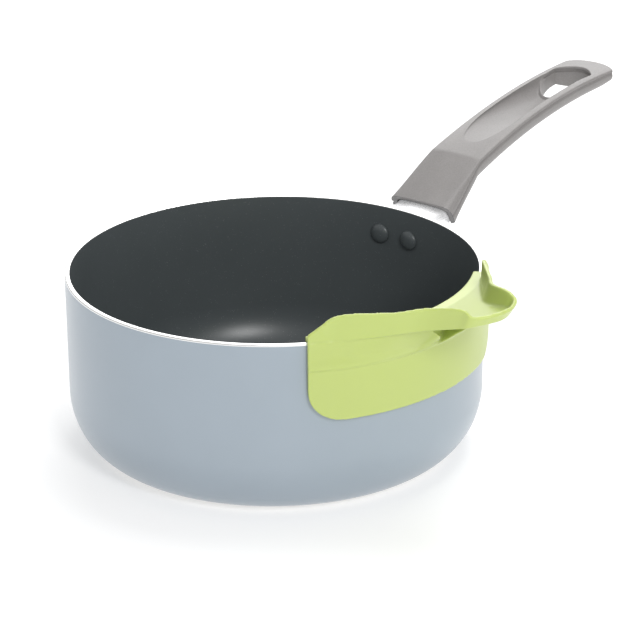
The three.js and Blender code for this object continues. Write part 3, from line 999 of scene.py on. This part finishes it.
    def blank(self) -> bmesh.types.BMesh:
        """Return the closed outer shape with its scoop, before its hollows are cut."""
        rings = []
        lean = math.sin(self.tilt) * math.cos(self.tilt)
        for x in self.stations():
            upright = clamp((x - self.mouth) / self.panel_run)
            near_end = self.share(x) ** 3
            ring = []
            for y, depth in self.section(x):
                at = x + depth * lean * (1 - upright)
                at += self.end_bulge * (1 - (y / self.end_half) ** 2) * near_end
                height = self.top(min(at, self.end))
                ring.append(Vector((at, y, height - depth)))
            left = [Vector((p.x, -p.y, p.z)) for p in ring[-2:0:-1]]
            rings.append(ring + left)
        return tube(len(rings[0]), len(rings), lambda ring, point: rings[ring][point])

    def cavity(self) -> bmesh.types.BMesh:
        """Return the space inside the mouth that takes the flame guard, open below."""
        half = FlameGuard.half + CLEARANCE
        start = self.mouth - self.cut_lead
        end = self.mouth + FlameGuard.inside + self.guard_end_gap

        def place(u: float, v: float, w: float) -> Vector:
            x = mix(start, end, u)
            across = 2 * v - 1
            roof = self.top(x) - self.shell - 0.5 * FlameGuard.crown * across ** 2
            roof -= 0.6 * FlameGuard.corner * across ** 10
            return Vector((x, half * across, mix(self.rim - 40 * MM, roof, w)))

        return bent_block((6, 40, 1), place)

    def arm_slot(self) -> bmesh.types.BMesh:
        """Return the slot that takes the bracket's arm."""
        half, thick = self.arm_half + CLEARANCE, self.arm_thick / 2 + CLEARANCE
        end = self.kink + self.arm_past_kink + CLEARANCE

        def place(u: float, v: float, w: float) -> Vector:
            x = mix(self.mouth - self.cut_lead, end, u)
            middle = self.rim + self.mouth_top + (x - self.mouth) * self.slope - self.arm_depth
            return Vector((x, mix(-half, half, v), middle + mix(-thick, thick, w)))

        return bent_block((1, 1, 1), place)

    def screw_frame(self) -> Matrix:
        """Return the place and lean of the screw: its origin is the seat of its head."""
        x = self.mouth + self.screw_inside
        below = self.side_height(x) + self.belly_depth(x) - self.arm_depth
        seat = self.screw_recess - below * math.cos(self.tilt)
        middle = Vector((x, 0.0, self.top(x) - self.arm_depth))
        lean = Matrix.Rotation(-self.tilt, 4, "Y")
        return Matrix.Translation(middle) @ lean @ Matrix.Translation((0, 0, seat))

    def screw_passage(self) -> bmesh.types.BMesh:
        """Return the counterbore that takes the screw's head."""
        bm = bmesh.new()
        depth, radius = self.bore_length, Screw.head[0] + CLEARANCE
        bmesh.ops.create_cone(bm, cap_ends=True, segments=40, depth=depth, radius1=radius,
                              radius2=radius,
                              matrix=self.screw_frame() @ Matrix.Translation((0, 0, -depth / 2)))
        return bm

    def hole(self) -> bmesh.types.BMesh:
        """Return the hanging hole, rounded at the top face and undercut just below it."""
        half = self.end_half - self.hole_edge
        flare, under = self.hole_flare, self.hole_undercut
        levels = [(-30 * MM, 0.0), (-3.2 * MM, 0.0), (-2.6 * MM, under), (-1.5 * MM, under),
                  (-1.3 * MM, 0.0), (-0.5 * MM, 0.0), (-0.25 * MM, 0.25 * flare),
                  (0.0, flare), (1.0 * MM, 1.5 * flare)]
        arc, bow = 36, 28
        outline = []
        for i in range(arc):
            turn = math.pi / 2 + math.pi * i / arc
            outline.append(Vector((self.hole_back + self.hole_length * math.cos(turn),
                                   half * math.sin(turn))))
        for i in range(bow):
            across = mix(-1, 1, i / bow)
            outline.append(Vector((self.hole_back + self.hole_bow * (1 - across * across),
                                   half * across)))
        centre = Vector((mix(self.hole_front, self.hole_back, 0.6), 0.0))

        def place(ring: int, point: int) -> Vector:
            depth, wider = levels[ring]
            out = (outline[point] - centre).normalized()
            flat = outline[point] + out * wider
            level = self.top(min(flat.x, self.end)) + depth
            return Vector((flat.x, flat.y, self.rim - 10 * MM if ring == 0 else level))

        return tube(len(outline), len(levels), place)

    def build(self, finishes: Finishes) -> bpy.types.Object:
        """Make the handle and dress it."""
        grip = as_object("handle_grip", self.blank())
        cut(grip, self.cavity(), self.arm_slot(), self.screw_passage(), self.hole())
        grip.data.materials.clear()
        return finish(grip, [finishes.handle], "pan", "handle")


@dataclass
class Screw:
    """The cross-head screw that holds the handle on the bracket's arm."""

    shank: float = 2.0 * MM
    length: float = 8.0 * MM
    head: tuple[float, float] = (3.8 * MM, 2.4 * MM)
    head_straight: float = 0.4
    point: float = 0.5 * MM
    cross_half: float = 2.1 * MM
    cross_width: float = 0.9 * MM
    cross_depth: float = 1.3 * MM

    def build(self, handle: Handle, finishes: Finishes) -> bpy.types.Object:
        """Make the screw and dress it.

        Args:
            handle: The handle that it goes into.
            finishes: The materials to choose from.

        Returns:
            The screw.
        """
        radius, height = self.head
        straight = self.head_straight * height
        outline = [
            *quarter((0.0, -straight), (radius, height - straight), -90, 0, 8),
            (radius, -CLEARANCE),
            (self.shank, -CLEARANCE),
            (self.shank, self.length - self.point),
            (self.shank - self.point, self.length),
            (0.0, self.length),
            (0.0, -height),
        ]
        screw = as_object("cross_head_screw", turned(outline, 48))
        cut(screw, *(self.blade(turn) for turn in (0.0, math.pi / 2)))
        screw.data.transform(handle.screw_frame())
        screw.data.materials.clear()
        return finish(screw, [finishes.screw], "pan", "handle_screw")

    def blade(self, turn: float) -> bmesh.types.BMesh:
        """Return one bar of the cross recess, turned about the screw's axis."""
        height = self.head[1]
        bm = bmesh.new()
        size = Matrix.Diagonal((2 * self.cross_half, self.cross_width, 2 * self.cross_depth, 1.0))
        lay = Matrix.Translation((0, 0, -height)) @ Matrix.Rotation(turn, 4, "Z")
        bmesh.ops.create_cube(bm, size=1.0, matrix=lay @ size)
        return bm


@dataclass
class FlameGuard:
    """The polished sheet arch between the pan and the handle's mouth."""

    sheet: float = 0.9 * MM
    half: float = 15.6 * MM
    crown: float = 1.4 * MM
    corner: float = 4.0 * MM
    leg: float = 8.5 * MM
    inside: float = 15.6 * MM
    wall_gap: float = 0.6 * MM

    def arch(self, share: float, thick: float) -> tuple[float, float]:
        """Return a point of the arch's half outline, sideways and down from its crown.

        Args:
            share: From 0 at the crown to 1 at the foot of the leg.
            thick: How far inside the outer face the point is.

        Returns:
            The sideways place and the depth under the crown.
        """
        half, corner = self.half - thick, self.corner - thick
        flat = half - corner
        bend = corner * math.pi / 2
        along = share * (flat + bend + self.leg - thick - corner)
        if along < flat:
            return along, self.crown * (along / half) ** 2
        drop = self.crown * (flat / half) ** 2
        if along < flat + bend:
            turn = (along - flat) / corner
            return flat + corner * math.sin(turn), drop + corner * (1 - math.cos(turn))
        return half, drop + corner + along - flat - bend

    def build(self, pan: Pan, handle: Handle, finishes: Finishes) -> bpy.types.Object:
        """Make the guard and dress it.

        Args:
            pan: The pan that it starts from.
            handle: The handle that it runs into.
            finishes: The materials to choose from.

        Returns:
            The flame guard.
        """
        depth = handle.shell + 2 * CLEARANCE
        end = handle.mouth + self.inside

        def place(u: float, v: float, w: float) -> Vector:
            thick = (1 - w) * self.sheet
            y, down = self.arch(abs(2 * v - 1), thick)
            near = math.sqrt((pan.radius + self.wall_gap) ** 2 - y * y)
            x = mix(near, end, u)
            crown = handle.top(handle.mouth + self.soft_rise(x - handle.mouth)) - depth
            return Vector((x, math.copysign(y, v - 0.5), crown - down - thick))

        guard = as_object("flame_guard_arch", bent_block((36, 72, 1), place))
        return finish(guard, [finishes.guard], "pan", "flame_guard")

    @staticmethod
    def soft_rise(past: float) -> float:
        """Return how far up the panel's slope a place is, with a small bend at the mouth."""
        bend = 1.5 * MM
        if past < -bend:
            return 0.0
        if past > bend:
            return past
        return (past + bend) ** 2 / (4 * bend)


# ---------------- the pour spout


@dataclass
class PourSpout:
    """The clip-on spout: a skirt round the wall, a tongue inside it and a channel with a lip."""

    turn: float = math.radians(-97.3)
    sheet: float = 1.8 * MM
    skirt: float = 2.9 * MM
    half_arc: float = 64.5 * MM
    skirt_drop: float = 37.5 * MM
    corner_run: float = 17.0 * MM
    corner_rise: float = 14.5 * MM
    flap: float = 2.0 * MM
    flap_drop: float = 12.0 * MM
    end_height: float = 4.5 * MM
    wing_arc: float = 51.5 * MM
    wing_height: float = 12.8 * MM
    crease_drop: float = 12.0 * MM
    notch_low: float = 3.0 * MM
    notch_high: float = 16.3 * MM
    shoulder: tuple[float, float, float] = (11.2 * MM, 31.0 * MM, 14.8 * MM)
    neck: tuple[float, float, float] = (20.6 * MM, 21.8 * MM, 16.8 * MM)
    throat: tuple[float, float, float] = (35.6 * MM, 16.1 * MM, 18.7 * MM)
    lip: tuple[float, float, float] = (39.8 * MM, 15.4 * MM, 16.5 * MM)
    nose: tuple[float, float, float] = (42.4 * MM, 11.9 * MM, 15.4 * MM)
    tip: tuple[float, float, float] = (47.2 * MM, 0.0, 16.6 * MM)
    floor_slope: float = 0.265
    wall_run: float = 4.6 * MM
    lip_run: float = 3.0 * MM
    wall_run_least: float = 0.4 * MM
    end_tuck: float = 0.2 * MM
    step: float = 0.9 * MM
    step_rise: float = 6.0 * MM
    overlap: float = 0.5 * MM
    bend: float = 0.7
    voxel: float = 0.56 * MM
    smoothing: int = 4
    radius: float = PAN_RADIUS
    rim: float = PAN_RIM
    inner: float = field(init=False)
    outer: float = field(init=False)
    flap_outer: float = field(init=False)
    edge: SmoothLine = field(init=False)

    def __post_init__(self) -> None:
        """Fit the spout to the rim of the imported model."""
        self.inner = self.radius + CLEARANCE
        self.outer = self.inner + self.skirt
        self.flap_outer = self.radius - Pan.wall - CLEARANCE
        self.edge = self.upper_edge()

    @property
    def end_angle(self) -> float:
        """The angle from the middle plane to the ends of the skirt."""
        return self.half_arc / self.outer

    def upper_edge(self) -> SmoothLine:
        """Return the upper edge from one end of the skirt, round the lip, to the other."""
        wing = self.wing_arc / self.outer
        half = [
            around(self.outer - self.end_tuck, self.end_angle, self.end_height),
            around(self.outer - self.end_tuck / 2, mix(wing, self.end_angle, 0.5),
                   mix(self.wing_height, self.end_height, 0.45)),
            around(self.outer, wing, self.wing_height),
        ]
        for reach, side, height in (self.shoulder, self.neck, self.throat, self.lip, self.nose):
            half.append(Vector((self.radius + reach, side, height)))
        mirrored = [Vector((p.x, -p.y, p.z)) for p in half]
        tip = Vector((self.radius + self.tip[0], self.tip[1], self.tip[2]))
        return SmoothLine([*mirrored, tip, *reversed(half)])

    def floor(self, reach: float) -> float:
        """Return the height of the channel's underside at a distance from the pan's axis."""
        return CLEARANCE + self.floor_slope * max(0.0, reach - self.inner - self.overlap)

    def run_at(self, point: Vector) -> float:
        """Return how far inside the upper edge the channel's wall stands on its floor."""
        reach = math.hypot(point.x, point.y)
        climb = (self.floor(reach) + self.crease_drop) / (point.z + self.crease_drop)
        past_neck = smooth_step(reach, self.radius + self.neck[0], self.radius + self.throat[0])
        most = mix(self.wall_run, self.lip_run, past_neck)
        return clamp((1 - climb) * (reach - self.outer), self.wall_run_least, most)

    def step_at(self, height: float) -> float:
        """Return how far the raised band above the crease stands out at a height."""
        above = height + self.crease_drop
        if above < 0:
            return 0.0
        return self.step * (1 - smooth_step(above, 0.15 * self.step_rise, self.step_rise))

    def channel_point(self, u: float, v: float) -> Vector:
        """Return a point of the channel's underside and outer face.

        Args:
            u: From one end of the skirt to the other.
            v: From the inner edge of the tongue out to the upper edge.

        Returns:
            The point.
        """
        edge = self.edge.at(u)
        start = around(self.flap_outer - self.flap, mix(-self.end_angle, self.end_angle, clamp(u)),
                       0.0)
        out = Vector((edge.x - start.x, edge.y - start.y, 0.0))
        foot = 1 - self.run_at(edge) / out.length
        rise = max(0.0, (v - self.bend) / (1 - self.bend))
        share = foot * v / self.bend if v < self.bend else mix(foot, 1.0, rise)
        at = start + out * share
        at.z = mix(self.floor(math.hypot(at.x, at.y)), edge.z, rise)
        return at

    def channel(self) -> bmesh.types.BMesh:
        """Return the channel's floor and walls."""
        step = 0.006

        def place(u: float, v: float, w: float) -> Vector:
            at = self.channel_point(u, v)
            along = self.channel_point(min(u + step, 1.0), v)
            along -= self.channel_point(max(u - step, 0.0), v)
            across = self.channel_point(u, min(v + step, 1.0))
            across -= self.channel_point(u, max(v - step, 0.0))
            below = along.cross(across).normalized()
            return at + below * (self.sheet * (w - 1))

        return bent_block((150, 30, 2), place)

    def skirt_sheet(self) -> bmesh.types.BMesh:
        """Return the skirt outside the wall, with large round lower corners."""
        run = self.corner_run / self.outer

        def place(u: float, v: float, w: float) -> Vector:
            crowded = math.sin((2 * u - 1) * math.pi / 2)
            angle = self.end_angle * mix(2 * u - 1, crowded, 0.6)
            into = max(0.0, 1 - (self.end_angle - abs(angle)) / run)
            low = self.corner_rise * (1 - math.sqrt(max(0.0, 1 - into * into)))
            height = mix(low - self.skirt_drop, CLEARANCE + self.overlap, v)
            return around(mix(self.inner, self.outer + self.step_at(height), w), angle, height)

        return bent_block((110, 80, 2), place)

    def tongue(self) -> bmesh.types.BMesh:
        """Return the tongue inside the rim."""
        top = CLEARANCE + self.overlap

        def place(u: float, v: float, w: float) -> Vector:
            angle = mix(-self.end_angle, self.end_angle, u)
            return around(mix(self.flap_outer - self.flap, self.flap_outer, w), angle,
                          mix(-self.flap_drop, top, v))

        return bent_block((90, 8, 2), place)

    def flare(self, side: int) -> bmesh.types.BMesh:
        """Return the flare between the skirt's crease and the channel's wall, on one side.

        Args:
            side: 1 or -1, for the side of the middle plane.

        Returns:
            The closed mesh.
        """
        low = self.inner + self.overlap
        far = self.wing_arc / self.outer
        bearings = [math.atan2(p.y, p.x) for p in self.edge.samples]

        def rim_at(angle: float) -> Vector:
            nearest = min(range(len(bearings)), key=lambda i: abs(bearings[i] - angle))
            return self.edge.samples[nearest]

        def place(u: float, v: float, w: float) -> Vector:
            near = mix(self.notch_low, self.notch_high, v) / self.outer
            angle = side * mix(near, far, u if side > 0 else 1 - u)
            rim = rim_at(angle)
            reach = math.hypot(rim.x, rim.y)
            foot = max(low, reach - self.run_at(rim) - self.overlap)
            top = self.floor(mix(low, foot, w)) + self.overlap
            z = mix(-self.crease_drop, top, v)
            climb = (z + self.crease_drop) / (rim.z + self.crease_drop)
            out = mix(self.outer - self.overlap / 2, max(self.outer, reach - self.overlap), climb)
            return around(mix(low, out + self.step_at(z), w), angle, z)

        return bent_block((50, 40, 2), place)

    def build(self, finishes: Finishes) -> bpy.types.Object:
        """Make the spout and dress it."""
        whole = joined(self.skirt_sheet(), self.channel(), self.tongue(), self.flare(1),
                       self.flare(-1))
        place = Matrix.Translation((0, 0, self.rim)) @ Matrix.Rotation(self.turn, 4, "Z")
        bmesh.ops.transform(whole, verts=whole.verts, matrix=place)
        spout = as_object("clip_on_spout", whole)
        melt(spout, self.voxel, self.smoothing)
        spout.data.materials.clear()
        return finish(spout, [finishes.spout], "spout", "pour_spout", sharp=None)


# ---------------- the studio


@dataclass(frozen=True)
class Softbox:
    """A square area light that faces the pan."""

    name: str
    azimuth: float
    elevation: float
    distance: float
    size: float
    watts: float

    def build(self, aim: Vector) -> bpy.types.Object:
        """Make the light.

        Args:
            aim: The point that it faces.

        Returns:
            The light's object.
        """
        light = bpy.data.lights.new(self.name, "AREA")
        light.energy = self.watts
        light.size = self.size
        obj = bpy.data.objects.new(self.name, light)
        azimuth, elevation = math.radians(self.azimuth), math.radians(self.elevation)
        away = Vector((math.cos(elevation) * math.cos(azimuth),
                       math.cos(elevation) * math.sin(azimuth), math.sin(elevation)))
        obj.matrix_world = Matrix.LocRotScale(aim + away * self.distance,
                                              (-away).to_track_quat("-Z", "Y"), None)
        bpy.context.scene.collection.objects.link(obj)
        return obj


@dataclass
class Studio:
    """A plain white floor, soft light and the camera."""

    floor_half: float = 6.0
    aim: tuple[float, float, float] = (0.02, 0.0, 0.05)
    floor_colour: Colour = (0.62, 0.62, 0.62)
    floor_glow: float = 0.43
    sky: float = 0.6
    camera_place: tuple[float, float, float] = (-0.93689, -0.75747, 0.55008)
    camera_faces: tuple[float, float, float] = (0.73030, 0.57057, -0.37566)
    camera_side: tuple[float, float, float] = (0.61307, -0.78998, -0.00802)
    lens_mm: float = 153.3
    sensor_mm: float = 36.0
    lights: tuple[Softbox, ...] = (
        Softbox("key", 5.0, 68.0, 1.7, 0.9, 14.0),
        Softbox("rear", 36.0, 30.0, 2.4, 1.5, 18.0),
        Softbox("front", -122.0, 33.0, 2.0, 0.5, 16.5),
    )

    def build(self) -> None:
        """Make the floor, the world, the lights and the camera."""
        scene = bpy.context.scene
        scene.view_settings.view_transform = "Standard"
        self.floor()
        self.world()
        for light in self.lights:
            light.build(Vector(self.aim))
        scene.camera = self.camera()

    def floor(self) -> None:
        """Make the floor, which isn't part of the object."""
        bm = bmesh.new()
        bmesh.ops.create_grid(bm, x_segments=2, y_segments=2, size=self.floor_half)
        floor = as_object("studio_floor", bm)
        board = Board("floor_paint")
        board.set(Base_Color=(*self.floor_colour, 1.0), Roughness=0.9, Specular_IOR_Level=0.1,
                  Emission_Color=(1.0, 1.0, 1.0, 1.0), Emission_Strength=self.floor_glow)
        floor.data.materials.append(board.material)

    def world(self) -> None:
        """Light the scene from all round with a plain white sky."""
        world = bpy.data.worlds.new("white_room")
        world.use_nodes = True
        back = world.node_tree.nodes["Background"]
        back.inputs["Color"].default_value = (1.0, 1.0, 1.0, 1.0)
        back.inputs["Strength"].default_value = self.sky
        bpy.context.scene.world = world

    def camera(self) -> bpy.types.Object:
        """Return the camera."""
        data = bpy.data.cameras.new("studio_camera")
        data.lens = self.lens_mm
        data.sensor_width = self.sensor_mm
        side = Vector(self.camera_side).normalized()
        back = -Vector(self.camera_faces).normalized()
        up = back.cross(side).normalized()
        turn = Matrix((side, up, side.cross(up))).transposed()
        camera = bpy.data.objects.new("studio_camera", data)
        camera.matrix_world = Matrix.LocRotScale(Vector(self.camera_place), turn.to_quaternion(),
                                                 None)
        bpy.context.scene.collection.objects.link(camera)
        return camera


# ---------------- all together


def dress_bracket(finishes: Finishes) -> None:
    """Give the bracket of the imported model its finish."""
    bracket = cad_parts["handle_bracket"]
    bracket.data.materials.clear()
    bracket.data.materials.append(finishes.bracket)
    log.info("handle_bracket: dressed as packed")


def main() -> None:
    """Build the whole scene."""
    logging.basicConfig(level=logging.INFO, format="%(name)s: %(message)s")
    finishes = Finishes()
    pan = Pan()
    handle = Handle()
    pan.build(finishes)
    BasePlate().build(finishes)
    Rivets().build(pan, finishes)
    dress_bracket(finishes)
    handle.build(finishes)
    Screw().build(handle, finishes)
    FlameGuard().build(pan, handle, finishes)
    PourSpout().build(finishes)
    Studio().build()


if __name__ == "__main__":
    main()
